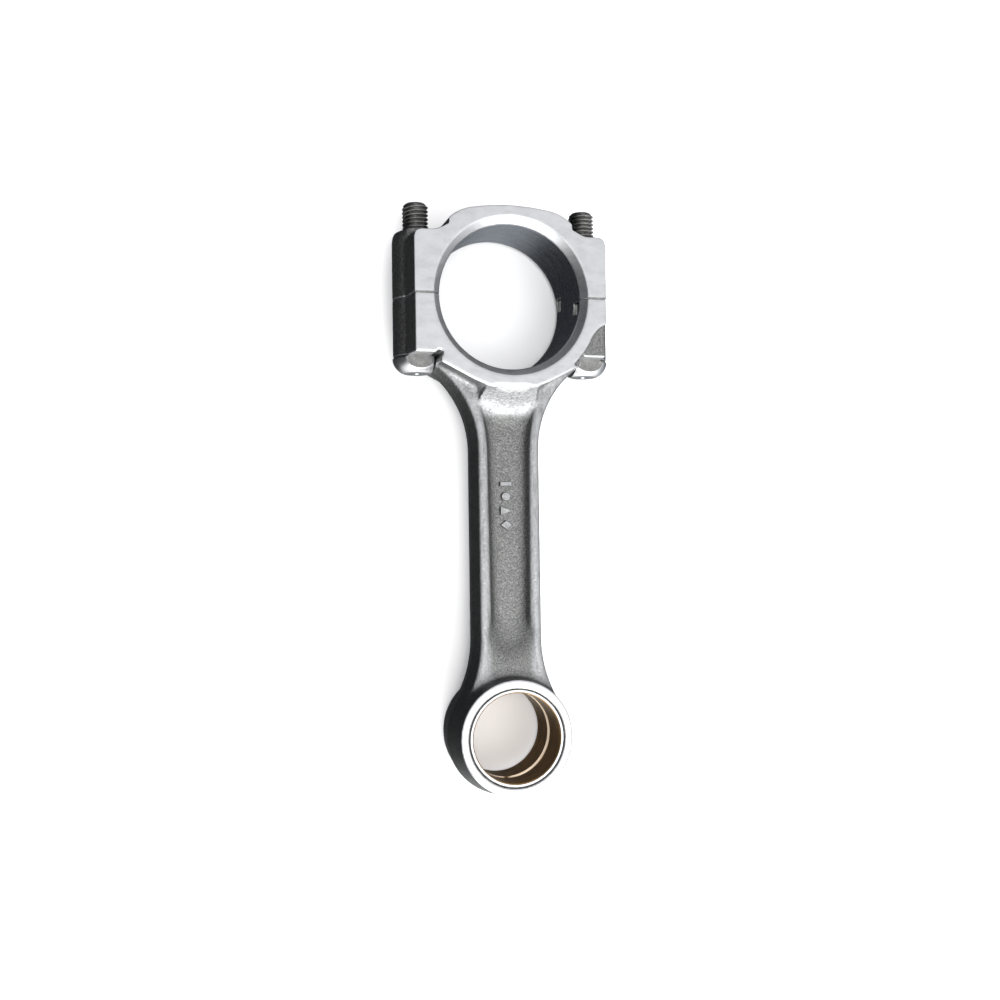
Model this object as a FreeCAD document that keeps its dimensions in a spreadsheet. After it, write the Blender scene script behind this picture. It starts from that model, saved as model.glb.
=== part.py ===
import FreeCAD, Part
import math
import os

import Sketcher

# Connecting rod of a small engine, lying on its back face.
# Frame: origin at the centre of the big-end bore, +Z along the bores and out of the front
# face, +Y towards the cap, the small end on -Y, the bolts parallel to Y on both sides.

XY, XZ, YZ = "XY_Plane", "XZ_Plane", "YZ_Plane"
UP = FreeCAD.Vector(0, 0, 1)

DRIVING_SIZES = {
    # rod as a whole
    "centre_distance": 165.0,
    # big end
    "big_end_width": 34.0,
    "big_bore_radius": 27.4,
    "big_bore_chamfer": 2.8,
    "big_end_half_span": 37.2,
    "side_draft": 2.4,
    "pad_radius": 35.1,
    "pad_tangent_offset": 16.0,
    "seat_depth": 21.9,
    "pocket_wall_offset": 27.5,
    "recess_depth": 3.0,
    "recess_radius": 34.8,
    "notch_length": 5.2,
    "notch_depth": 1.7,
    "notch_near": 7.0,
    "notch_far": 13.4,
    # bolts and their bosses
    "bolt_offset": 33.3,
    "boss_radius": 9.0,
    "bolt_hole_radius": 5.13,
    "bolt_land_radius": 5.1,
    "bolt_thread_radius": 4.9,
    "bolt_core_radius": 4.7,
    "bolt_waist_radius": 4.3,
    "bolt_head_radius": 9.2,
    "bolt_end_radius": 5.0,
    "bolt_head_height": 6.1,
    "bolt_head_curve": 6.4,
    "bolt_tip_height": 37.0,
    "head_flat_offset": 7.3,
    "head_key_offset": 5.2,
    # cap
    "nut_seat_height": 26.0,
    "shoulder_height": 23.6,
    "spot_face_radius": 9.3,
    # shank
    "shank_half_width": 13.0,
    "flange_half_depth": 8.5,
    "web_half_thickness": 5.0,
    "upper_flare_radius": 38.0,
    "upper_flare_start": 57.0,
    "lower_flare_radius": 45.0,
    "channel_half_width": 8.6,
    "channel_flare_radius": 79.0,
    "channel_flare_start": 60.0,
    "channel_end_half_width": 7.9,
    "channel_end": 128.0,
    "channel_end_radius": 8.2,
    "forging_draft": 7.0,
    "channel_draft": 34,
    "channel_head_radius": 30,
    "channel_head_run": 9.4,
    # small end
    "eye_width": 30.0,
    "eye_radius": 23.4,
    "eye_bore_radius": 18.25,
    "bush_bore_radius": 16.75,
    "bush_width": 29.6,
    "oil_groove_width": 3.0,
    "oil_groove_depth": 0.7,
    "oil_hole_radius": 1.75,
}


class Size:
    """A length that knows its number and the sheet expression that it comes from."""

    def __init__(self, value, text):
        self.value = value
        self.text = text

    @staticmethod
    def of(other):
        if isinstance(other, Size):
            return other
        return Size(float(other), repr(float(other)))

    def __add__(self, other):
        other = Size.of(other)
        return Size(self.value + other.value, f"({self.text} + {other.text})")

    def __sub__(self, other):
        other = Size.of(other)
        return Size(self.value - other.value, f"({self.text} - {other.text})")

    def __mul__(self, other):
        other = Size.of(other)
        return Size(self.value * other.value, f"({self.text} * {other.text})")

    def __truediv__(self, other):
        other = Size.of(other)
        return Size(self.value / other.value, f"({self.text} / {other.text})")

    def __neg__(self):
        return Size(-self.value, f"(0 - {self.text})")

    def root(self):
        return Size(math.sqrt(self.value), f"sqrt({self.text})")


def leg(hypotenuse, side):
    """The other leg of a right-angled triangle."""
    return (hypotenuse * hypotenuse - side * side).root()


class Sizes:
    """The driving sizes, kept in a spreadsheet of the document and read by their aliases."""

    def __init__(self, document):
        self._sheet = document.addObject("Spreadsheet::Sheet", "dims")
        for row, (alias, value) in enumerate(DRIVING_SIZES.items(), start=1):
            self._sheet.set(f"A{row}", alias)
            self._sheet.set(f"B{row}", str(value))
            self._sheet.setAlias(f"B{row}", alias)
        document.recompute()

    def __getattr__(self, alias):
        return Size(float(self._sheet.get(alias)), f"dims.{alias}")


def new_body(document, label):
    body = document.addObject("PartDesign::Body", label)
    body.Label = label
    return body


def origin_plane(body, role):
    return next(item for item in body.Origin.OriginFeatures if item.Role == role)


def new_sketch(body, name, role, lift=None):
    """A sketch on one of the body's origin planes, lifted along that plane's normal."""
    sketch = body.newObject("Sketcher::SketchObject", name)
    sketch.AttachmentSupport = [(origin_plane(body, role), "")]
    sketch.MapMode = "FlatFace"
    if lift is not None:
        sketch.setExpression(".AttachmentOffset.Base.z", lift.text)
        body.Document.recompute()
    return sketch


def bind(sketch, constraint, size):
    index = sketch.addConstraint(constraint)
    sketch.setExpression(f"Constraints[{index}]", size.text)


def place_point(sketch, geometry, position, x, y):
    bind(sketch, Sketcher.Constraint("DistanceX", -1, 1, geometry, position, x.value), x)
    bind(sketch, Sketcher.Constraint("DistanceY", -1, 1, geometry, position, y.value), y)


def circle(sketch, x, y, radius):
    x, y, radius = Size.of(x), Size.of(y), Size.of(radius)
    centre = FreeCAD.Vector(x.value, y.value, 0)
    index = sketch.addGeometry(Part.Circle(centre, UP, radius.value))
    place_point(sketch, index, 3, x, y)
    bind(sketch, Sketcher.Constraint("Radius", index, radius.value), radius)


def arc_between(start, end, radius, side):
    """The minor arc from start to end; side is +1 with its centre left of that direction."""
    chord = end - start
    middle = (start + end) * 0.5
    rise = math.sqrt(max(radius ** 2 - (chord.Length / 2) ** 2, 0.0))
    left = FreeCAD.Vector(-chord.y, chord.x, 0).normalize()
    centre = middle + left * rise * side
    through = centre + (middle - centre).normalize() * radius
    return Part.Arc(start, through, end)


def outline(sketch, corners):
    """A closed outline. A corner is (x, y), or (x, y, radius, side) where an arc leaves it."""
    points = [(Size.of(corner[0]), Size.of(corner[1])) for corner in corners]
    vectors = [FreeCAD.Vector(x.value, y.value, 0) for x, y in points]
    first = sketch.GeometryCount
    count = len(corners)
    for index, corner in enumerate(corners):
        start, end = vectors[index], vectors[(index + 1) % count]
        if len(corner) == 2:
            sketch.addGeometry(Part.LineSegment(start, end))
            continue
        radius, side = Size.of(corner[2]), corner[3]
        arc = sketch.addGeometry(arc_between(start, end, radius.value, side))
        bind(sketch, Sketcher.Constraint("Radius", arc, radius.value), radius)
    starts, ends = arc_ends(sketch, first, vectors)
    for index, (x, y) in enumerate(points):
        geometry = first + index
        before = first + (index - 1) % count
        sketch.addConstraint(
            Sketcher.Constraint("Coincident", before, ends[before], geometry, starts[geometry])
        )
        place_point(sketch, geometry, starts[geometry], x, y)


def arc_ends(sketch, first, vectors):
    """Which end of each piece of an outline (1 or 2) lies at its first and its second corner."""
    starts, ends = {}, {}
    for index, corner in enumerate(vectors):
        geometry = first + index
        reversed_arc = sketch.getPoint(geometry, 1).distanceToPoint(corner) > 1e-6
        starts[geometry] = 2 if reversed_arc else 1
        ends[geometry] = 1 if reversed_arc else 2
    return starts, ends


def mirrored_corners(right_half):
    """Right-hand corners listed from top to bottom, then their mirror images going back up."""
    left_half = []
    for index in range(len(right_half) - 1, -1, -1):
        x, y = Size.of(right_half[index][0]), right_half[index][1]
        arriving = right_half[index - 1] if index else ()
        left_half.append((-x, y, *arriving[2:]))
    return list(right_half) + left_half


def pad(body, sketch, length, name, both_ways=False, backwards=False, draft=None):
    feature = body.newObject("PartDesign::Pad", name)
    feature.Profile = sketch
    feature.setExpression("Length", Size.of(length).text)
    feature.Midplane = both_ways
    feature.Reversed = backwards
    if draft is not None:
        feature.setExpression("TaperAngle", (-draft).text)
    finish(body, feature)
    return feature


def pocket(body, sketch, name, length=None, both_ways=False, backwards=False, draft=None):
    """A cut to a depth against the sketch's normal, or right through without a length."""
    feature = body.newObject("PartDesign::Pocket", name)
    feature.Profile = sketch
    if length is None:
        feature.Type = "ThroughAll"
    else:
        feature.setExpression("Length", Size.of(length).text)
    feature.Midplane = both_ways
    feature.Reversed = backwards
    if draft is not None:
        feature.setExpression("TaperAngle", (-draft).text)
    finish(body, feature)
    return feature


def revolve(body, sketch, name, angle=360.0):
    """Turned about the sketch's vertical axis, half of the angle to each side of its plane."""
    feature = body.newObject("PartDesign::Revolution", name)
    feature.Profile = sketch
    feature.ReferenceAxis = (sketch, ["V_Axis"])
    feature.Midplane = angle < 360.0
    feature.Angle = angle
    finish(body, feature)
    return feature


def mirror_to_back(body, feature):
    """The same feature on the back half, mirrored in the mid-plane."""
    twin = body.newObject("PartDesign::Mirrored", f"{feature.Name}_back")
    twin.Originals = [feature]
    twin.MirrorPlane = (origin_plane(body, XY), [""])
    body.Tip = twin
    finish(body, twin)
    return twin


def finish(body, feature):
    body.Document.recompute()
    if "Invalid" in feature.State or "Error" in feature.State or feature.Shape.isNull():
        raise RuntimeError(f"{body.Label}: {feature.Name} failed: {feature.State}")


def dress(body, kind, name, amount, wanted):
    """A PartDesign fillet or chamfer on every edge of the tip for which wanted(edge) is true."""
    tip = body.Tip
    edges = [f"Edge{i}" for i, edge in enumerate(tip.Shape.Edges, start=1) if wanted(edge)]
    if not edges:
        raise RuntimeError(f"{body.Label}: {name} finds no edge")
    feature = body.newObject(f"PartDesign::{kind}", name)
    feature.Base = (tip, edges)
    feature.setExpression("Radius" if kind == "Fillet" else "Size", Size.of(amount).text)
    finish(body, feature)


def is_circle(edge, radius, axis):
    """True for a circular edge or arc of this radius about a line along this axis."""
    curve = edge.Curve
    if not isinstance(curve, Part.Circle):
        return False
    return abs(curve.Radius - radius) < 1e-3 and abs(abs(curve.Axis.dot(axis)) - 1) < 1e-6


def is_hole_rim(edge, d, height):
    """True for the rim of a bolt hole on a face at this height along Y."""
    if not is_circle(edge, d.bolt_hole_radius.value, FreeCAD.Vector(0, 1, 0)):
        return False
    return abs(edge.Curve.Center.y - height) < 0.01


def lies_at(edge, height, tolerance=0.01):
    """True for an edge whose points are all this far from the mid-plane, front or back."""
    box = edge.BoundBox
    near = min(abs(box.ZMin), abs(box.ZMax))
    far = max(abs(box.ZMin), abs(box.ZMax))
    return abs(near - height) < tolerance and abs(far - height) < tolerance


def shank(body, d):
    """The I-beam with drafted sides, flared towards both ends, and its two channels."""
    cut_edge = d.pocket_wall_offset + 2.5
    flare_axis = d.shank_half_width + d.upper_flare_radius
    flare_top = leg(d.upper_flare_radius, flare_axis - cut_edge) - d.upper_flare_start
    reach = d.lower_flare_radius + d.eye_radius
    across = d.shank_half_width + d.lower_flare_radius
    rise = leg(reach, across)
    share = d.eye_radius / reach
    sketch = new_sketch(body, "shank_outline", XY)
    outline(sketch, mirrored_corners([
        (cut_edge, -15.0),
        (cut_edge, flare_top, d.upper_flare_radius, 1),
        (d.shank_half_width, -d.upper_flare_start),
        (d.shank_half_width, rise - d.centre_distance, d.lower_flare_radius, 1),
        (across * share, rise * share - d.centre_distance),
        (across * share - 6.0, rise * share - d.centre_distance - 8.0),
    ]))
    front = pad(body, sketch, d.flange_half_depth, "shank_pad", draft=d.forging_draft)
    mirror_to_back(body, front)

    channel = new_sketch(body, "channel_outline", XY, lift=d.flange_half_depth)
    top = Size.of(-31.0)
    axis = d.channel_half_width + d.channel_flare_radius
    top_half_width = axis - leg(d.channel_flare_radius, d.channel_flare_start + top)
    outline(channel, [
        (-top_half_width, top),
        (top_half_width, top, d.channel_flare_radius, 1),
        (d.channel_half_width, -d.channel_flare_start),
        (d.channel_end_half_width, -d.channel_end, d.channel_end_radius, -1),
        (-d.channel_end_half_width, -d.channel_end),
        (-d.channel_half_width, -d.channel_flare_start, d.channel_flare_radius, 1),
    ])
    depth = d.flange_half_depth - d.web_half_thickness
    front = pocket(body, channel, "channel", length=depth, draft=d.channel_draft)
    mirror_to_back(body, front)
    flange = d.flange_half_depth.value
    dress(body, "Fillet", "flange_fillet", 1.3, lambda edge: lies_at(edge, flange))


def small_end_eye(body, d):
    sketch = new_sketch(body, "eye_outline", XY)
    circle(sketch, 0, -d.centre_distance, d.eye_radius)
    front = pad(body, sketch, d.eye_width / 2, "eye_pad", draft=d.forging_draft)
    mirror_to_back(body, front)


def side_section(sketch, d):
    """Section across the big end: thrust faces front and back, sides drafted to the middle."""
    half_width = d.big_end_width / 2
    edge = d.big_end_half_span
    middle = edge + d.side_draft
    outline(sketch, [
        (edge, half_width),
        (-edge, half_width),
        (-middle, 0),
        (-edge, -half_width),
        (edge, -half_width),
        (middle, 0),
    ])


def rod_big_end(body, d):
    """The lower half of the big end with its thrust pads and the two bolt bosses."""
    section = new_sketch(body, "big_end_section", XZ)
    side_section(section, d)
    pad(body, section, d.seat_depth, "big_end_block")

    bosses = new_sketch(body, "boss_section", XZ)
    for side in (d.bolt_offset, -d.bolt_offset):
        circle(bosses, side, 0, d.boss_radius)
    pad(body, bosses, d.seat_depth, "bolt_bosses")

    hub = new_sketch(body, "pad_outline", XY)
    touch = d.pad_tangent_offset
    drop = leg(d.pad_radius, touch)
    cut_edge = d.pocket_wall_offset + 2.5
    corner = (cut_edge - touch) * touch / drop - drop
    outline(hub, [
        (-cut_edge, -15.0),
        (-cut_edge, corner),
        (-touch, -drop, d.pad_radius, 1),
        (touch, -drop),
        (cut_edge, corner),
        (cut_edge, -15.0),
    ])
    pad(body, hub, d.big_end_width, "thrust_pads", both_ways=True)


def head_pockets(body, d):
    """Milled seats under the shoulders, each with a relief groove in its inner corner."""
    sketch = new_sketch(body, "head_pocket_outline", XY)
    far, low = Size.of(50.0), Size.of(-45.0)
    for side in (1, -1):
        wall = d.pocket_wall_offset * side
        outline(sketch, [
            (wall, -d.seat_depth),
            (wall, low),
            (far * side, low),
            (far * side, -d.seat_depth),
        ])
    pocket(body, sketch, "head_pockets", both_ways=True)

    relief = new_sketch(body, "seat_relief_outline", XY)
    for side in (1, -1):
        circle(relief, (d.pocket_wall_offset + 0.5) * side, -(d.seat_depth + 0.5), 1.3)
    pocket(body, relief, "seat_reliefs", both_ways=True)


def blend_pads(body, d):
    """Fillets where the sides of the thrust pads meet the flanges."""
    flange = d.flange_half_depth.value
    dress(body, "Fillet", "pad_fillet", 2.0, lambda edge: (
        lies_at(edge, flange) and edge.Length > 5.0 and edge.BoundBox.Center.y > -d.pad_radius.value
    ))


def channel_head_blend(body, d):
    """The web rises in a hollow slope from the channel up to the edge of the thrust pad."""
    edge = d.pad_radius
    web = d.web_half_thickness
    top = d.big_end_width / 2 - 0.1
    sketch = new_sketch(body, "channel_head_outline", YZ)
    outline(sketch, [
        (-edge + 0.8, web - 0.5),
        (-edge + 0.8, top),
        (-edge, top, d.channel_head_radius, -1),
        (-edge - d.channel_head_run, web),
        (-edge - d.channel_head_run, web - 0.5),
    ])
    front = revolve(body, sketch, "channel_head_blend", angle=34.0)
    mirror_to_back(body, front)


def shoulder_recess(body, d):
    """The right shoulder is left as forged, below the thrust face, outside the pad's arc."""
    low = d.seat_depth + 4.0
    start = leg(d.recess_radius, low)
    bend = Size.of(16.4)
    bend_x = leg(d.recess_radius, bend)
    edge = d.big_end_half_span
    sketch = new_sketch(body, "recess_outline", XY, lift=d.big_end_width / 2)
    outline(sketch, [
        (start, -low, d.recess_radius, 1),
        (bend_x, -bend, 12.0, -1),
        (edge, -9.6),
        (edge + 6.0, -9.6),
        (edge + 6.0, -low),
    ])
    front = pocket(body, sketch, "shoulder_recess", length=d.recess_depth)
    mirror_to_back(body, front)


def shell_notch(body, d, name, front):
    """The notch for a bearing shell's tang, in the right wall beside the parting face."""
    sketch = new_sketch(body, f"{name}_outline", XZ)
    bottom = d.big_bore_radius + d.notch_depth
    inner = d.big_bore_radius - 3.0
    near, far = (d.notch_near, d.notch_far) if front else (-d.notch_near, -d.notch_far)
    outline(sketch, [(inner, near), (bottom, near), (bottom, far), (inner, far)])
    pocket(body, sketch, name, length=d.notch_length, backwards=front)


def bore(body, name, x, y, radius):
    sketch = new_sketch(body, f"{name}_outline", XY)
    circle(sketch, x, y, radius)
    pocket(body, sketch, name, both_ways=True)


def bolt_holes(body, d):
    sketch = new_sketch(body, "bolt_hole_outline", XZ)
    for side in (d.bolt_offset, -d.bolt_offset):
        circle(sketch, side, 0, d.bolt_hole_radius)
    pocket(body, sketch, "bolt_holes", both_ways=True)


def oil_hole(body, d):
    """The drilled feed through the small end's crown, with its countersink."""
    sketch = new_sketch(body, "oil_hole_outline", XZ, lift=d.centre_distance)
    circle(sketch, 0, 0, d.oil_hole_radius)
    pocket(body, sketch, "oil_hole", backwards=True)

    mouth = body.newObject("PartDesign::SubtractiveCone", "oil_hole_mouth")
    mouth.setExpression("Radius1", d.oil_hole_radius.text)
    mouth.setExpression("Radius2", (d.oil_hole_radius + 2.6).text)
    mouth.setExpression("Height", "2.6")
    mouth.Placement = FreeCAD.Placement(
        FreeCAD.Vector(0, 0, 0), FreeCAD.Rotation(FreeCAD.Vector(1, 0, 0), 90)
    )
    mouth.setExpression(".Placement.Base.y", (-(d.centre_distance + d.eye_radius - 2.2)).text)
    finish(body, mouth)


def rod_body(document, d):
    body = new_body(document, "rod_body")
    shank(body, d)
    small_end_eye(body, d)
    rod_big_end(body, d)
    head_pockets(body, d)
    blend_pads(body, d)
    channel_head_blend(body, d)
    shoulder_recess(body, d)
    bore(body, "big_bore", 0, 0, d.big_bore_radius)
    bore(body, "eye_bore", 0, -d.centre_distance, d.eye_bore_radius)
    bolt_holes(body, d)
    oil_hole(body, d)
    chamfer_big_bore(body, d)
    dress(body, "Chamfer", "eye_bore_chamfer", 0.5,
          lambda edge: is_circle(edge, d.eye_bore_radius.value, UP))
    dress(body, "Chamfer", "bolt_hole_chamfer", 0.4, lambda edge: is_hole_rim(edge, d, 0.0))
    shell_notch(body, d, "shell_notch", front=True)
    return body


def chamfer_big_bore(body, d):
    half_width = d.big_end_width.value / 2
    dress(body, "Chamfer", "big_bore_chamfer", d.big_bore_chamfer,
          lambda edge: is_circle(edge, d.big_bore_radius.value, UP) and lies_at(edge, half_width))


def cap_crown(sketch, d):
    """Front outline of the cap: shoulders, spot-faced steps and a flattened crown."""
    corner = Size.of(2.7)
    edge = d.big_end_half_span
    step = d.bolt_offset - d.spot_face_radius
    right = [
        (15.0, 32.7, 17.5, -1),
        (step, 28.2),
        (step, d.nut_seat_height),
        (step + 1.0, d.nut_seat_height - 0.3, 14.0, 1),
        (step + 5.8, d.shoulder_height),
        (edge - corner, d.shoulder_height, corner, -1),
        (edge, d.shoulder_height - corner),
        (edge, 0),
    ]
    left = mirrored_corners(right)[len(right):]
    left[-1] = (left[-1][0], left[-1][1], 84.0, -1)
    outline(sketch, right + left)


def bearing_cap(document, d):
    body = new_body(document, "bearing_cap")
    crown = new_sketch(body, "cap_outline", XY)
    cap_crown(crown, d)
    pad(body, crown, d.big_end_width, "cap_pad", both_ways=True)

    section = new_sketch(body, "cap_section", XZ)
    side_section(section, d)
    pad(body, section, d.shoulder_height - 2.7, "cap_sides", backwards=True)

    bosses = new_sketch(body, "boss_section", XZ)
    for side in (d.bolt_offset, -d.bolt_offset):
        circle(bosses, side, 0, d.boss_radius)
    pad(body, bosses, d.nut_seat_height, "bolt_bosses", backwards=True)

    bore(body, "big_bore", 0, 0, d.big_bore_radius)
    bolt_holes(body, d)
    chamfer_big_bore(body, d)
    dress(body, "Chamfer", "bolt_hole_chamfer", 0.4,
          lambda edge: is_hole_rim(edge, d, 0.0) or is_hole_rim(edge, d, d.nut_seat_height.value))
    shell_notch(body, d, "shell_notch", front=False)
    return body


def bolt(document, d, label, side):
    """A fit bolt: domed keyed head below, ground land at the parting face, thread on top."""
    body = new_body(document, label)
    profile = new_sketch(body, "bolt_profile", XY)
    seat = -d.seat_depth
    end = seat - d.bolt_head_height
    tip = d.bolt_tip_height
    centre_hole = Size.of(1.3)
    outline(profile, [
        (0, end + 1.6),
        (centre_hole, end),
        (d.bolt_end_radius, end, d.bolt_head_curve, 1),
        (d.bolt_head_radius, seat - 0.9),
        (d.bolt_head_radius, seat - 0.6),
        (d.bolt_head_radius - 0.8, seat),
        (d.bolt_waist_radius + 0.3, seat),
        (d.bolt_waist_radius + 0.3, seat + 3.0),
        (d.bolt_waist_radius, seat + 3.9),
        (d.bolt_waist_radius, -9.0),
        (d.bolt_land_radius, -8.0),
        (d.bolt_land_radius, 8.0),
        (d.bolt_waist_radius, 9.0),
        (d.bolt_waist_radius, 14.0),
        (d.bolt_core_radius, 14.6),
        (d.bolt_core_radius, d.nut_seat_height + 0.2),
        (d.bolt_thread_radius, d.nut_seat_height + 0.4),
        (d.bolt_thread_radius, tip - 1.3),
        (d.bolt_thread_radius - 1.3, tip),
        (centre_hole, tip),
        (0, tip - 1.6),
    ])
    revolve(body, profile, "bolt_turning")

    flats = new_sketch(body, "head_flats_outline", XZ, lift=d.seat_depth - 0.001)
    reach = Size.of(14.0)
    outline(flats, [
        (-reach, d.head_flat_offset),
        (d.head_key_offset, d.head_flat_offset),
        (d.head_key_offset, -d.head_flat_offset),
        (-reach, -d.head_flat_offset),
        (-reach, -reach),
        (reach, -reach),
        (reach, reach),
        (-reach, reach),
    ])
    pocket(body, flats, "head_flats", backwards=True)

    body.Placement = FreeCAD.Placement(
        FreeCAD.Vector(0, 0, 0), FreeCAD.Rotation(FreeCAD.Vector(0, 1, 0), 0 if side < 0 else 180)
    )
    body.setExpression(".Placement.Base.x", (d.bolt_offset * side).text)
    return body


def small_end_bush(document, d):
    """The pressed-in bush, lined with bronze, with an oil groove and a feed hole."""
    body = new_body(document, "small_end_bush")
    inner, outer = d.bush_bore_radius, d.eye_bore_radius
    top = d.bush_width / 2
    groove = d.oil_groove_width / 2
    bottom = inner + d.oil_groove_depth
    ease = Size.of(0.4)
    profile = new_sketch(body, "bush_profile", XZ)
    outline(profile, [
        (inner, -top + ease),
        (inner + ease, -top),
        (outer - ease, -top),
        (outer, -top + ease),
        (outer, top - ease),
        (outer - ease, top),
        (inner + ease, top),
        (inner, top - ease),
        (inner, groove),
        (bottom, groove - 0.5),
        (bottom, -groove + 0.5),
        (inner, -groove),
    ])
    revolve(body, profile, "bush_turning")
    feed = new_sketch(body, "oil_hole_outline", XZ)
    circle(feed, 0, 0, d.oil_hole_radius)
    pocket(body, feed, "oil_hole", backwards=True)
    body.setExpression(".Placement.Base.y", (-d.centre_distance).text)
    return body


def check_document(document):
    for item in document.Objects:
        if "Invalid" in item.State or "Error" in item.State:
            raise RuntimeError(f"{item.Label} is {item.State}")


def main():
    document = FreeCAD.newDocument("connecting_rod")
    d = Sizes(document)
    bodies = [
        rod_body(document, d),
        bearing_cap(document, d),
        bolt(document, d, "bolt_left", -1),
        bolt(document, d, "bolt_right", 1),
        small_end_bush(document, d),
    ]
    document.recompute()
    check_document(document)
    for body in bodies:
        shape = body.Shape
        if shape.isNull() or not shape.isValid() or len(shape.Solids) != 1:
            raise RuntimeError(f"{body.Label} is not one valid solid")
    os.makedirs("parts", exist_ok=True)
    for body in bodies:
        body.Shape.exportStep(f"parts/{body.Label}.step")
        box = body.Shape.BoundBox
        print(f"{body.Label}: volume {body.Shape.Volume:.0f} mm3,"
              f" box {box.XMin:.2f} {box.YMin:.2f} {box.ZMin:.2f}"
              f" to {box.XMax:.2f} {box.YMax:.2f} {box.ZMax:.2f}")


main()
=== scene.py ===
"""The looks of a forged connecting rod: shot-peened shank, ground faces, black bolts, bronze bush."""

import math

import bmesh
import bpy
import numpy as np
from mathutils import Matrix


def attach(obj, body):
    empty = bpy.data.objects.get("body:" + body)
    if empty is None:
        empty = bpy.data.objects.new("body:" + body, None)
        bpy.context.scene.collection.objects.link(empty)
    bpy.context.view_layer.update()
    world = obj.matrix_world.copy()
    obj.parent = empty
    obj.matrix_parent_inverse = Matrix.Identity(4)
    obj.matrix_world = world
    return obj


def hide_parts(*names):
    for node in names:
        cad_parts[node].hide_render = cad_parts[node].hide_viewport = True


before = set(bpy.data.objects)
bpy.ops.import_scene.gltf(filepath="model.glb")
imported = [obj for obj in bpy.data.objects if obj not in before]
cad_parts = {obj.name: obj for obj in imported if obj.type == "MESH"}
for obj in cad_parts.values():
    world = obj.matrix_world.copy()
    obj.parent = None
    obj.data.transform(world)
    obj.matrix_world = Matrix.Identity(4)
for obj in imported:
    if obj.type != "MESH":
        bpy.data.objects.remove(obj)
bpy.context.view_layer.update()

MM = 0.001

# Sizes of the rod in millimetres: x across, y along towards the cap, z out of the front face.
BIG_BORE = 27.4
BIG_CHAMFER = 30.2
EYE_Y = -165.0
EYE_BORE = 18.25
EYE_FACE_RADIUS = 24.0
BUSH_BORE = 16.75
PAD_REACH = 45.0
PAD_Z = 17.0
EYE_FACE_Z = 15.0
WEB_Z = 5.0
POCKET_X = 27.5
POCKET_DEPTH = 11.0
BOLT_X = 33.3
BOLT_HOLE = 5.6
SEAT_Y = -21.9
HEAD_END_Y = -27.95
NUT_SEAT_Y = 26.0
NUT_SEAT_RADIUS = 7.0
THREAD_Y = 14.8
BOLT_TIP_Y = 37.0
CENTRE_HOLE = 1.3
NOTCH_Z = 10.2
SKIN = 0.5

THREAD_SIDES = 72
MOST_TRIANGLES = 192000
# The fifth finish is painted shade for the parting seam; the black oxide of the bolts also serves as
# painted shade in the bush joint and shell notches.
PEENED, GROUND, HONED, BLACKENED, SEAM_SHADE = range(5)
LINING, BACK, JOINT, GROOVE = range(4)


# ---------------------------------------------------------------- materials


class Finish:
    """A procedural metal: one principled shader with helpers that feed its sockets."""

    def __init__(self, name, color, metallic, roughness):
        self.material = bpy.data.materials.new(name)
        self.material.use_nodes = True
        self.tree = self.material.node_tree
        self.shader = self.tree.nodes["Principled BSDF"]
        self.shader.inputs["Base Color"].default_value = (*color, 1)
        self.shader.inputs["Metallic"].default_value = metallic
        self.shader.inputs["Roughness"].default_value = roughness
        self.material.diffuse_color = (*color, 1)
        self.material.metallic = metallic
        self.material.roughness = roughness
        self.normal = None

    def node(self, kind, **inputs):
        made = self.tree.nodes.new(kind)
        for name, value in inputs.items():
            made.inputs[name].default_value = value
        return made

    def link(self, output, target):
        self.tree.links.new(output, target)

    def place(self, scale):
        """Object coordinates in metres, times a scale for each axis."""
        coordinates = self.node("ShaderNodeTexCoord")
        mapping = self.node("ShaderNodeMapping")
        mapping.inputs["Scale"].default_value = scale
        self.link(coordinates.outputs["Object"], mapping.inputs["Vector"])
        return mapping.outputs["Vector"]

    def noise(self, scale, detail=3.0, roughness=0.55):
        made = self.node("ShaderNodeTexNoise", Scale=1.0, Detail=detail, Roughness=roughness)
        self.link(self.place(scale), made.inputs["Vector"])
        return made.outputs["Fac"]

    def cells(self, scale):
        made = self.node("ShaderNodeTexVoronoi", Scale=1.0)
        made.feature = "SMOOTH_F1"
        self.link(self.place(scale), made.inputs["Vector"])
        return made.outputs["Distance"]

    def spread(self, value, low, high, start=0.3, stop=0.7):
        """Maps a 0..1 texture onto low..high."""
        made = self.node("ShaderNodeMapRange")
        self.link(value, made.inputs["Value"])
        for name, number in (("From Min", start), ("From Max", stop), ("To Min", low), ("To Max", high)):
            made.inputs[name].default_value = number
        return made.outputs["Result"]

    def ramp(self, value, stops):
        made = self.node("ShaderNodeValToRGB")
        ramp = made.color_ramp
        while len(ramp.elements) < len(stops):
            ramp.elements.new(0.5)
        for element, (position, color) in zip(ramp.elements, stops):
            element.position = position
            element.color = (*color, 1)
        self.link(value, made.inputs["Fac"])
        return made.outputs["Color"]

    def tint(self, value, stops):
        self.link(self.ramp(value, stops), self.shader.inputs["Base Color"])

    def tint_between(self, attribute, plain, wear_and_sheen_colour):
        """Goes from the plain colour to the lighter one as the mesh's attribute goes from 0 to 1; the
        lighter colour stands for rubbed wear and for a painted highlight.
        """
        share = self.node("ShaderNodeAttribute")
        share.attribute_name = attribute
        mix = self.node("ShaderNodeMix")
        mix.data_type = "RGBA"
        self.link(share.outputs["Fac"], mix.inputs["Factor"])
        self.link(plain, mix.inputs[6])
        self.link(wear_and_sheen_colour, mix.inputs[7])
        self.link(mix.outputs[2], self.shader.inputs["Base Color"])

    def rough(self, value, low, high):
        self.link(self.spread(value, low, high), self.shader.inputs["Roughness"])

    def bump(self, value, depth_mm):
        made = self.node("ShaderNodeBump", Strength=1.0, Distance=depth_mm * MM)
        self.link(value, made.inputs["Height"])
        if self.normal is not None:
            self.link(self.normal, made.inputs["Normal"])
        self.normal = made.outputs["Normal"]
        self.link(self.normal, self.shader.inputs["Normal"])


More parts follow.
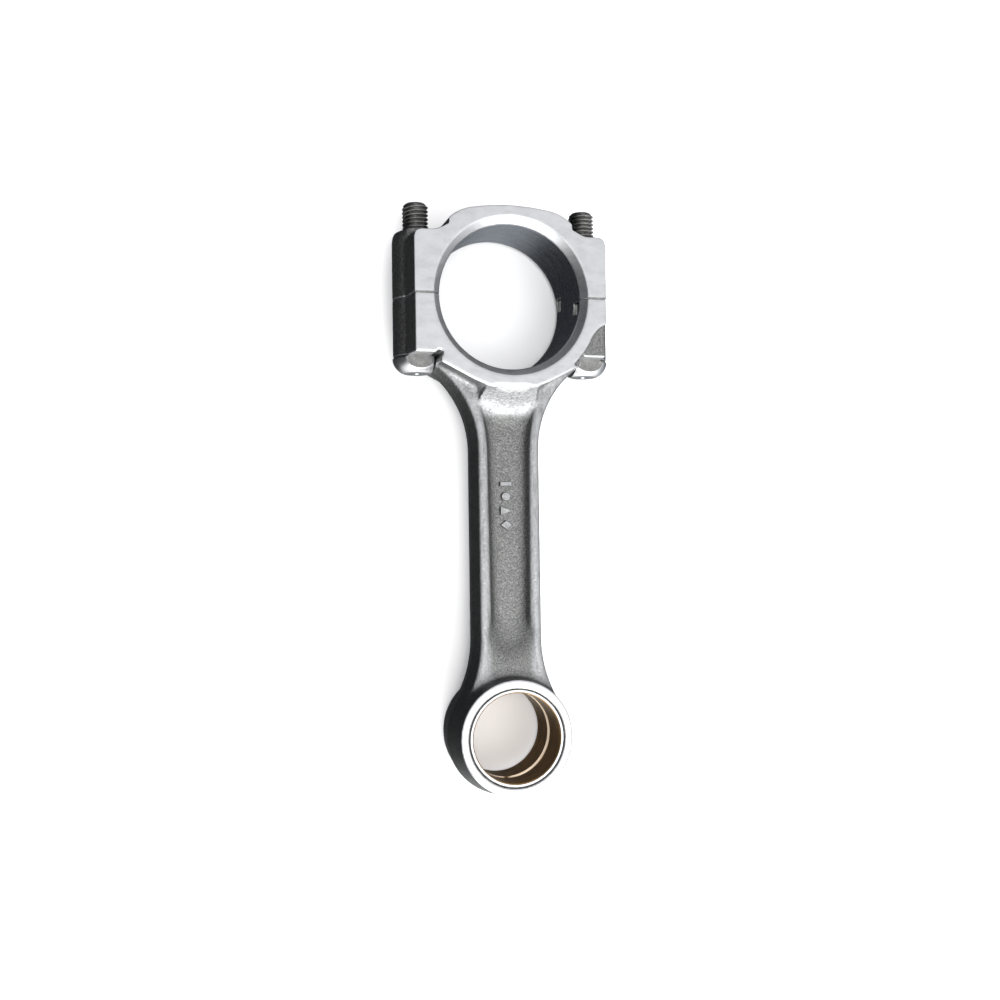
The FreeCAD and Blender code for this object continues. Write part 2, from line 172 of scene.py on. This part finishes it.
def shades(color, *levels):
    """Colour stops: the same hue at several brightness levels, evenly spaced."""
    last = len(levels) - 1
    return [(0.25 + 0.5 * i / last, tuple(c * level for c in color)) for i, level in enumerate(levels)]


def even(scale):
    return (scale, scale, scale)


def peened_steel():
    """Grained by the shot, and lighter where the mesh's wear-and-sheen attribute says: rubbed wear on
    the flanges and the marks' tops, and a painted highlight on the slope up to the pad.
    """
    steel = (0.175, 0.177, 0.173)
    bright = (0.29, 0.293, 0.296)
    finish = Finish("peened_steel", steel, 1.0, 0.5)
    grain = finish.noise(even(1900), detail=4.0, roughness=0.7)
    brushed = finish.noise((900, 160, 900), detail=5.0, roughness=0.7)
    # The lighter colour stands for rubbed wear, and on the slope up to the pad for a painted highlight.
    finish.tint_between("wear_and_sheen", finish.ramp(grain, shades(steel, 0.3, 0.85, 1.75)),
                        finish.ramp(brushed, shades(bright, 0.6, 1.0, 1.3)))
    finish.rough(finish.noise(even(1400), detail=4.0), 0.38, 0.58)
    finish.bump(finish.noise(even(150), detail=2.0), 0.10)
    finish.bump(finish.cells(even(1150)), 0.11)
    finish.bump(finish.noise(even(3000), detail=3.0), 0.04)
    return finish.material


def ground_steel():
    steel = (0.45, 0.455, 0.465)
    finish = Finish("ground_steel", steel, 1.0, 0.32)
    finish.tint(finish.noise((160, 320, 160), detail=5.0, roughness=0.7), shades(steel, 0.84, 1.0, 1.1))
    finish.rough(finish.noise((300, 1600, 300), detail=4.0), 0.3, 0.4)
    finish.bump(finish.noise((260, 3600, 260), detail=3.0), 0.0025)
    return finish.material


def honed_steel():
    steel = (0.34, 0.35, 0.375)
    finish = Finish("honed_steel", steel, 1.0, 0.28)
    finish.tint(finish.noise((80, 80, 700), detail=4.0), shades(steel, 0.8, 1.0, 1.1))
    finish.rough(finish.noise((90, 90, 2600), detail=4.0), 0.2, 0.36)
    finish.bump(finish.noise((120, 120, 6000), detail=3.0), 0.006)
    return finish.material


def black_oxide():
    steel = (0.2, 0.2, 0.194)
    finish = Finish("black_oxide", steel, 1.0, 0.36)
    finish.tint(finish.noise(even(420), detail=5.0, roughness=0.7), shades(steel, 0.6, 1.0, 1.7))
    finish.rough(finish.noise(even(900), detail=4.0), 0.28, 0.5)
    finish.bump(finish.noise((500, 4000, 500), detail=3.0), 0.012)
    return finish.material


def bronze(name, metal):
    finish = Finish(name, metal, 0.75, 0.3)
    finish.tint(finish.noise((70, 70, 420), detail=5.0), shades(metal, 0.7, 1.0, 1.25))
    finish.rough(finish.noise((90, 90, 2600), detail=4.0), 0.24, 0.42)
    finish.bump(finish.noise((110, 110, 5200), detail=3.0), 0.008)
    return finish.material


def seam_shade():
    """Painted shade for the parting seam: a dark flat grey that stands for the shade in the joint
    between rod and cap.
    """
    seam_shade_grey = (0.13, 0.13, 0.128)
    finish = Finish("seam_shade", seam_shade_grey, 0.0, 0.55)
    finish.tint(finish.noise(even(600), detail=4.0), shades(seam_shade_grey, 0.6, 1.0, 1.5))
    finish.bump(finish.noise(even(2500), detail=3.0), 0.01)
    return finish.material


def floor_paint():
    white = (0.9, 0.9, 0.9)
    finish = Finish("studio_floor", white, 0.0, 0.7)
    finish.tint(finish.noise(even(9), detail=2.0), shades(white, 0.99, 1.0, 1.01))
    return finish.material


STEELS = [peened_steel(), ground_steel(), honed_steel(), black_oxide(), seam_shade()]
BRONZE = bronze("bearing_bronze", (0.28, 0.17, 0.065))
# A pale bronze for the oil groove, painted as a glint.
GROOVE_GLINT_BRONZE = bronze("groove_glint_bronze", (0.85, 0.72, 0.56))


# ---------------------------------------------------------------- shapes


def new_piece(name, mesh, materials):
    piece = bpy.data.objects.new(name, mesh)
    bpy.context.scene.collection.objects.link(piece)
    for material in materials:
        mesh.materials.append(material)
    return piece


def read_points(mesh):
    """The mesh's points, in millimetres."""
    flat = np.empty(len(mesh.vertices) * 3, np.float32)
    mesh.vertices.foreach_get("co", flat)
    return flat.reshape(-1, 3).astype(float) / MM


def write_points(mesh, points):
    mesh.vertices.foreach_set("co", (points * MM).astype(np.float32).ravel())
    mesh.update()


def read_edges(mesh):
    flat = np.empty(len(mesh.edges) * 2, np.int32)
    mesh.edges.foreach_get("vertices", flat)
    return flat.reshape(-1, 2)


def read_normals(mesh):
    flat = np.empty(len(mesh.vertices) * 3, np.float32)
    mesh.vertex_normals.foreach_get("vector", flat)
    return flat.reshape(-1, 3).astype(float)


def remeshed(node, voxel_mm):
    """A copy of a CAD node as a fine, even mesh, ready to be softened."""
    source = bpy.data.objects.new("blank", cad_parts[node].data.copy())
    bpy.context.scene.collection.objects.link(source)
    modifier = source.modifiers.new("even", "REMESH")
    modifier.mode = "VOXEL"
    modifier.voxel_size = voxel_mm * MM
    modifier.adaptivity = 0.0
    ready = source.evaluated_get(bpy.context.evaluated_depsgraph_get())
    mesh = bpy.data.meshes.new_from_object(ready)
    bpy.data.objects.remove(source)
    mesh.materials.clear()
    return mesh


def relax(points, edges, weight, rounds):
    """Moves each point towards its neighbours' mean by its weight, many times over."""
    ends = np.concatenate((edges[:, 0], edges[:, 1]))
    others = np.concatenate((edges[:, 1], edges[:, 0]))
    total = len(points)
    count = np.bincount(ends, minlength=total)[:, None]
    pull = weight[:, None]
    for _ in range(rounds):
        sums = [np.bincount(ends, points[others, axis], total) for axis in range(points.shape[1])]
        points = points + pull * (np.stack(sums, axis=1) / count - points)
    return points


def fade(value, start, stop):
    """0 at start, 1 at stop, eased between."""
    share = np.clip((value - start) / (stop - start), 0, 1)
    return share * share * (3 - 2 * share)


def within(value, rise, fall):
    """1 between two slopes, each given as (start, stop), and 0 outside them."""
    return fade(value, *rise) * (1 - fade(value, *fall))


def near(value, full, none):
    """1 up to the distance full from zero, and 0 from the distance none."""
    return 1 - fade(np.abs(value), full, none)


def soften(mesh, machined, fillet, melt):
    """Fills hollow corners by the fillet weight, rounds the forging a little, and leaves the machining.
    Where melt is 1, ridges and machined edges are smoothed away as well."""
    points = read_points(mesh)
    edges = read_edges(mesh)
    normals = read_normals(mesh)
    everywhere = np.ones(len(points))
    melting = melt(points)
    free = np.maximum(1.0 - machined(points), melting)
    filled = relax(points, edges, fillet(points) * free, rounds=120)
    rise = np.sum((filled - points) * normals, axis=1)
    hollow = relax(fade(rise, 0.02, 0.16)[:, None], edges, 0.5 * everywhere, rounds=6)
    points = points + np.maximum(hollow, melting[:, None]) * (filled - points)
    points = relax(points, edges, 0.5 * free, rounds=5)
    points = relax(points, edges, 0.25 * everywhere, rounds=2)
    write_points(mesh, points)


def thin_out(piece):
    """Drops triangles from the flattest places until few enough are left."""
    triangles = 2 * len(piece.data.polygons)
    if triangles <= MOST_TRIANGLES:
        return
    modifier = piece.modifiers.new("thin", "DECIMATE")
    modifier.ratio = MOST_TRIANGLES / triangles
    ready = piece.evaluated_get(bpy.context.evaluated_depsgraph_get())
    mesh = bpy.data.meshes.new_from_object(ready)
    piece.modifiers.clear()
    piece.data = mesh


def shade_smooth(mesh, sharp_degrees=None):
    mesh.polygons.foreach_set("use_smooth", [True] * len(mesh.polygons))
    mesh.update()
    if sharp_degrees is not None:
        mesh.set_sharp_from_angle(angle=math.radians(sharp_degrees))


def read_faces(mesh):
    """The faces' centres, in millimetres, and their normals."""
    flat = np.empty(len(mesh.polygons) * 3, np.float32)
    mesh.polygons.foreach_get("center", flat)
    centres = flat.reshape(-1, 3).astype(float) / MM
    mesh.polygons.foreach_get("normal", flat)
    return centres, flat.reshape(-1, 3).astype(float)


def paint(mesh, finish):
    """Gives each face the material whose number stands in finish."""
    mesh.polygons.foreach_set("material_index", finish.astype(np.int32))
    mesh.update()


def stand_in(piece, node, body):
    """Lets the piece take the CAD node's place, on the node's body."""
    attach(piece, body)
    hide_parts(node)


# Masks: each takes points in millimetres and says which of them, or how much of each, is meant.


def on_bores(points):
    x, y, _ = points.T
    return (np.hypot(x, y) < BIG_CHAMFER + 0.1) | (np.hypot(x, y - EYE_Y) < EYE_BORE + 0.35)


def in_bolt_hole(points):
    x, _, z = points.T
    return np.hypot(np.abs(x) - BOLT_X, z) < BOLT_HOLE


def rod_machined(points):
    """1 on the rod's cut surfaces, 0 on the forging."""
    x, y, z = points.T
    wide, high = np.abs(x), np.abs(z)
    cut = on_bores(points) | in_bolt_hole(points) | (y > -SKIN)
    cut |= (np.hypot(x, y) < PAD_REACH) & (high > PAD_Z - SKIN)
    cut |= (np.hypot(x, y - EYE_Y) < EYE_FACE_RADIUS) & (high > EYE_FACE_Z - SKIN)
    cut |= (wide > POCKET_X - SKIN) & (y < SEAT_Y + SKIN) & (y > SEAT_Y - POCKET_DEPTH)
    return cut.astype(float)


def cap_machined(points):
    """1 on the cap's cut surfaces, 0 on the forging."""
    x, y, z = points.T
    cut = on_bores(points) | in_bolt_hole(points) | (y < SKIN)
    cut |= np.abs(z) > PAD_Z - SKIN
    cut |= (np.hypot(np.abs(x) - BOLT_X, z) < NUT_SEAT_RADIUS) & (np.abs(y - NUT_SEAT_Y) < 0.4)
    return cut.astype(float)


def channel_foot(points):
    """1 where the channel runs out above the small end."""
    x, y, _ = points.T
    return within(y, (-143, -138), (-128, -118)) * near(x, 7.5, 11)


def boss_corner(points):
    """1 along the outer rim of the cap's bolt bosses, which the forging leaves well rounded."""
    x, y, z = points.T
    return fade(np.abs(x), 37.5, 39.5) * fade(y, 21.5, 24) * near(z, 12, 15)


def rod_fillet(points):
    """How strongly each point is drawn into a fillet: most at the channel's two ends."""
    x, y, _ = points.T
    scoop = within(y, (-52, -44), (-32, -30)) * near(x, 10, 15)
    round_eye = near(np.hypot(x, y - EYE_Y), 26, 31)
    channel = within(y, (-135, -125), (-52, -46)) * near(x, 11, 12)
    return 0.04 + 0.7 * scoop + 0.8 * channel_foot(points) + 0.2 * round_eye + 0.2 * channel


def cap_fillet(points):
    return 0.15 + 0.35 * boss_corner(points)


def rod_melt(points):
    """1 where ridges are forged away: at the channel's foot, and where its head meets the pad."""
    x, y, _ = points.T
    head = within(y, (-46, -42), (-35.2, -32.2)) * near(x, 5, 9.5)
    return np.maximum(channel_foot(points), head)


def bush_joint(points):
    """The small groove between the bush and the eye, which is painted dark as painted shade."""
    x, y, z = points.T
    radius = np.hypot(x, y - EYE_Y)
    return (radius > EYE_BORE - 0.4) & (radius < EYE_BORE + 0.42) & (np.abs(z) > EYE_FACE_Z - 0.8)


def shell_notch(points):
    """The notches for the bearing shells' tangs, in the right wall of the big bore."""
    x, y, z = points.T
    in_wall = (x > 0) & (x < 30) & (np.hypot(x, y) > BIG_BORE + 0.2)
    return in_wall & (np.abs(np.abs(z) - NOTCH_Z) < 3.4) & (np.abs(y) < 5.4)


def parting_edge(points):
    """The corner of the parting faces, given painted shade so that it shows as a thin dark line."""
    _, y, z = points.T
    return (y > -0.3) & (y < 0.65) & (np.abs(z) > PAD_Z - 0.6)


def wear_and_sheen_mask(points):
    """How much each point is painted lighter: rubbed wear on the flanges' outer faces, and a painted
    highlight on the slope up to the pad.
    """
    x, y, z = points.T
    wide, high = np.abs(x), np.abs(z)
    flanges = within(high, (7.6, 8.3), (9.5, 12)) * within(y, (-152, -138), (-28, -22))
    flanges *= np.maximum(fade(y, -124, -116), fade(wide, 6.5, 10))
    # Painted highlight: the slope up to the pad is made lighter to stand for the light it reflects.
    slope_sheen = fade(high, WEB_Z, WEB_Z + 1.5) * within(y, (-46, -43), (-33, -31.5)) * near(x, 10.5, 14)
    return np.maximum(flanges, slope_sheen)


# The pieces.


def paint_forging(mesh, cut):
    """Bores get the honed finish, flat cut faces the ground one, and the forging the peened one."""
    centres, normals = read_faces(mesh)
    machined = cut(centres) > 0.5
    bores = machined & (on_bores(centres) | in_bolt_hole(centres)) & (np.abs(normals[:, 2]) < 0.3)
    finish = np.where(bores, HONED, np.where(machined, GROUND, PEENED))
    # Painted shade: the bush joint and the shells' notches get the dark black-oxide colour.
    finish[bush_joint(centres) | shell_notch(centres)] = BLACKENED
    # Painted shade: the parting corner is made dark, a thin line standing for the gap's shade.
    finish[parting_edge(centres)] = SEAM_SHADE
    paint(mesh, finish)


def forging(name, node, body, cut, fillet, melt, voxel_mm):
    """The CAD node, softened where it is forged and crisp where it is cut."""
    mesh = remeshed(node, voxel_mm)
    soften(mesh, cut, fillet, melt)
    piece = new_piece(name, mesh, [])
    thin_out(piece)
    for material in STEELS:
        piece.data.materials.append(material)
    paint_forging(piece.data, cut)
    # The lighter tone: rubbed wear on the flanges, and a painted highlight on the slope up to the pad.
    wear_and_sheen = piece.data.attributes.new("wear_and_sheen", "FLOAT", "POINT")
    wear_and_sheen.data.foreach_set("value", wear_and_sheen_mask(read_points(piece.data)).astype(np.float32))
    shade_smooth(piece.data)
    stand_in(piece, node, body)


def thread_rings():
    """Rings of the threaded end, from the shank's waist up to the centre hole: (y, radii)."""
    pitch, depth, crest, step, run_out, point_chamfer = 1.5, 0.9, 4.9, 0.125, 1.2, 1.3
    turns = np.linspace(0, 1, THREAD_SIDES, endpoint=False)
    rings = []
    for y in np.arange(THREAD_Y, BOLT_TIP_Y + 0.0001, step):
        phase = (y / pitch - turns) % 1.0
        ridge = np.clip((0.5 - np.abs(phase - 0.5)) / 0.5 * 1.375 - 0.1, 0, 1)
        grown = min(1.0, (y - THREAD_Y) / run_out)
        radii = crest - depth * grown * (1 - ridge)
        rings.append((y, np.minimum(radii, crest - point_chamfer + (BOLT_TIP_Y - y))))
    rings.append((BOLT_TIP_Y, np.full(THREAD_SIDES, CENTRE_HOLE)))
    rings.append((BOLT_TIP_Y - 1.6, np.full(THREAD_SIDES, 0.05)))
    return rings


def threaded_bolt(name, node, body, side):
    """The CAD bolt below the thread, with a bright turned dome, and a true helical thread above."""
    work = bmesh.new()
    work.from_mesh(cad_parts[node].data)
    everything = work.verts[:] + work.edges[:] + work.faces[:]
    bmesh.ops.bisect_plane(work, geom=everything, plane_co=(0, (THREAD_Y - 0.05) * MM, 0),
                           plane_no=(0, 1, 0), clear_outer=True)
    angles = np.linspace(0, 2 * math.pi, THREAD_SIDES, endpoint=False)
    rows = []
    for y, radii in thread_rings():
        across = side * BOLT_X + radii * np.sin(angles)
        up = radii * np.cos(angles)
        rows.append([work.verts.new((a * MM, y * MM, b * MM)) for a, b in zip(across, up)])
    for lower, upper in zip(rows, rows[1:]):
        for i in range(THREAD_SIDES):
            j = (i + 1) % THREAD_SIDES
            work.faces.new((lower[i], lower[j], upper[j], upper[i]))
    mesh = bpy.data.meshes.new(name)
    work.to_mesh(mesh)
    work.free()
    mesh.materials.clear()
    shade_smooth(mesh, sharp_degrees=38)
    piece = new_piece(name, mesh, [STEELS[BLACKENED], STEELS[GROUND]])
    centres, normals = read_faces(mesh)
    y = centres[:, 1]
    paint(mesh, (y > HEAD_END_Y) & (y < SEAT_Y - 1) & (normals[:, 1] < -0.05))
    stand_in(piece, node, body)


def raised_mark(work, wear_and_sheen, outline, x, y):
    """A low forged mark on the web: a flat top painted lighter, as rubbed wear and as a painted
    highlight, with sloping sides.
    """
    points = np.array(outline, float)
    loops = []
    for grow, height in ((1.06, -0.3), (1.0, 0.1), (0.93, 1.0), (0.86, 1.15)):
        level = (WEB_Z + height) * MM
        ring = [work.verts.new(((x + px) * MM, (y + py) * MM, level)) for px, py in points * grow]
        for vertex in ring:
            # Tops are painted lighter: rubbed wear, and a painted highlight.
            vertex[wear_and_sheen] = 1.0 if height > 0.5 else 0.0
        loops.append(ring)
    for lower, upper in zip(loops, loops[1:]):
        for i in range(len(lower)):
            j = (i + 1) % len(lower)
            work.faces.new((lower[i], lower[j], upper[j], upper[i]))
    work.faces.new(loops[-1])


def forged_marks():
    """Four plain raised signs down the middle of the front web."""
    angles = np.linspace(0, 2 * math.pi, 24, endpoint=False)
    disc = [(1.9 * math.cos(angle), 1.7 * math.sin(angle)) for angle in angles]
    bar = [(-2.5, -0.8), (2.5, -0.8), (2.5, 0.8), (-2.5, 0.8)]
    wedge = [(-2.4, -1.7), (2.4, 0.0), (-2.4, 1.7)]
    diamond = [(-2.4, 0.0), (0.0, -1.8), (2.4, 0.0), (0.0, 1.8)]
    work = bmesh.new()
    wear_and_sheen = work.verts.layers.float.new("wear_and_sheen")
    for outline, y in ((bar, -70.0), (disc, -74.8), (wedge, -80.2), (diamond, -85.6)):
        raised_mark(work, wear_and_sheen, outline, -0.6, y)
    mesh = bpy.data.meshes.new("forged_marks")
    work.to_mesh(mesh)
    work.free()
    shade_smooth(mesh, sharp_degrees=40)
    piece = new_piece("forged_marks", mesh, [STEELS[PEENED]])
    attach(piece, "rod")


def lined_bush():
    """The bush: a steel back, seen as a ring on the end faces, with a bronze lining."""
    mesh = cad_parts["small_end_bush"].data.copy()
    mesh.materials.clear()
    materials = [BRONZE, STEELS[GROUND], STEELS[BLACKENED], GROOVE_GLINT_BRONZE]
    piece = new_piece("steel_backed_bush", mesh, materials)
    centres, normals = read_faces(mesh)
    x, y, z = centres.T
    radius = np.hypot(x, y - EYE_Y)
    finish = np.where((radius > BUSH_BORE + 0.3) & (np.abs(z) > EYE_FACE_Z - 1), BACK, LINING)
    # Painted shade: the bush's face at the joint with the eye gets the dark black-oxide colour.
    finish[(radius > EYE_BORE - 0.5) & (np.abs(normals[:, 2]) < 0.95)] = JOINT
    # Painted glint: the oil groove and its hole get the pale bronze.
    finish[(radius > BUSH_BORE + 0.1) & (radius < BUSH_BORE + 0.9) & (np.abs(z) < 1.6)] = GROOVE
    paint(mesh, finish)
    stand_in(piece, "small_end_bush", "rod")


# ---------------------------------------------------------------- studio


def studio_floor():
    bpy.ops.mesh.primitive_plane_add(size=8, location=(0, 0, -PAD_Z * MM - 0.0002))
    floor = bpy.context.object
    floor.name = "floor"
    floor.data.materials.append(floor_paint())
    floor.visible_glossy = False


def area_light(name, place, aim, width, height, power):
    light = bpy.data.lights.new(name, "AREA")
    light.shape = "RECTANGLE"
    light.size = width
    light.size_y = height
    light.energy = power
    holder = bpy.data.objects.new(name, light)
    bpy.context.scene.collection.objects.link(holder)
    start = np.array(place, float)
    back = start - np.array(aim, float)
    back /= np.linalg.norm(back)
    right = np.cross((0, 1, 0.001), back)
    right /= np.linalg.norm(right)
    up = np.cross(back, right)
    turn = Matrix((right, up, back)).transposed().to_4x4()
    turn.translation = place
    holder.matrix_world = turn
    return holder


def studio_lights():
    area_light("overhead", (0.33, -0.45, 1.2), (0, -0.1, 0), 0.7, 0.5, 4.2)
    area_light("small_end_side", (0.1, -1.25, 0.5), (0, -0.1, 0), 1.2, 0.7, 14)
    floor_fill = area_light("floor_fill", (-0.15, -0.08, 1.3), (0, -0.08, 0), 0.35, 0.35, 5)
    floor_fill.visible_glossy = False


def studio_sky():
    """Bright overhead, dark below and low on the left, with a white card beyond the small end
    and a faint cool glow from below."""
    world = bpy.data.worlds.new("studio")
    bpy.context.scene.world = world
    world.use_nodes = True
    tree = world.node_tree
    background = tree.nodes["Background"]
    coordinates = tree.nodes.new("ShaderNodeTexCoord")

    def towards(direction):
        """How nearly each ray points in a direction."""
        lean = tree.nodes.new("ShaderNodeVectorMath")
        lean.operation = "DOT_PRODUCT"
        lean.inputs[1].default_value = direction
        tree.links.new(coordinates.outputs["Generated"], lean.inputs[0])
        return lean.outputs["Value"]

    def graded(value, start, stop, dark, bright):
        ramp = tree.nodes.new("ShaderNodeValToRGB")
        low, high = ramp.color_ramp.elements
        low.position, low.color = start, (*dark, 1)
        high.position, high.color = stop, (*bright, 1)
        tree.links.new(value, ramp.inputs["Fac"])
        return ramp.outputs["Color"]

    def lighter(first, second):
        both = tree.nodes.new("ShaderNodeMix")
        both.data_type = "RGBA"
        both.blend_type = "LIGHTEN"
        both.inputs["Factor"].default_value = 1.0
        tree.links.new(first, both.inputs[6])
        tree.links.new(second, both.inputs[7])
        return both.outputs[2]

    none = (0.0, 0.0, 0.0)
    sky = graded(towards((0.5, -0.05, 1.0)), 0.05, 0.45, (0.045, 0.047, 0.054), (1.42, 1.42, 1.44))
    card = graded(towards((0.1, -1.0, 0.0)), 0.5, 0.8, none, (2.6, 2.6, 2.6))
    glow = graded(towards((0.5, -0.5, -0.7)), 0.72, 0.95, none, (0.47, 0.52, 0.56))
    tree.links.new(lighter(lighter(sky, card), glow), background.inputs["Color"])
    background.inputs["Strength"].default_value = 1.0
    world.cycles.sampling_method = "NONE"


def studio_camera():
    lens = bpy.data.cameras.new("camera")
    lens.sensor_width = 36
    lens.lens = 44.547
    lens.clip_start = 0.01
    camera = bpy.data.objects.new("camera", lens)
    bpy.context.scene.collection.objects.link(camera)
    right = (0.96449626, -0.01449046, 0.26369869)
    up = (0.00445189, 0.99924381, 0.03862618)
    back = (-0.264059, -0.03608085, 0.96383143)
    pose = Matrix((right, up, back)).transposed().to_4x4()
    pose.translation = (-0.12703, -0.09308, 0.45870)
    camera.matrix_world = pose
    bpy.context.scene.camera = camera


forging("rod_forging", "rod_body", "rod", rod_machined, rod_fillet, rod_melt, voxel_mm=0.45)
forging("cap_forging", "bearing_cap", "cap", cap_machined, cap_fillet, boss_corner, voxel_mm=0.4)
threaded_bolt("bolt_left_threaded", "bolt_left", "left_bolt", side=-1)
threaded_bolt("bolt_right_threaded", "bolt_right", "right_bolt", side=1)
forged_marks()
lined_bush()

studio_floor()
studio_sky()
studio_lights()
studio_camera()
bpy.context.scene.view_settings.view_transform = "Standard"
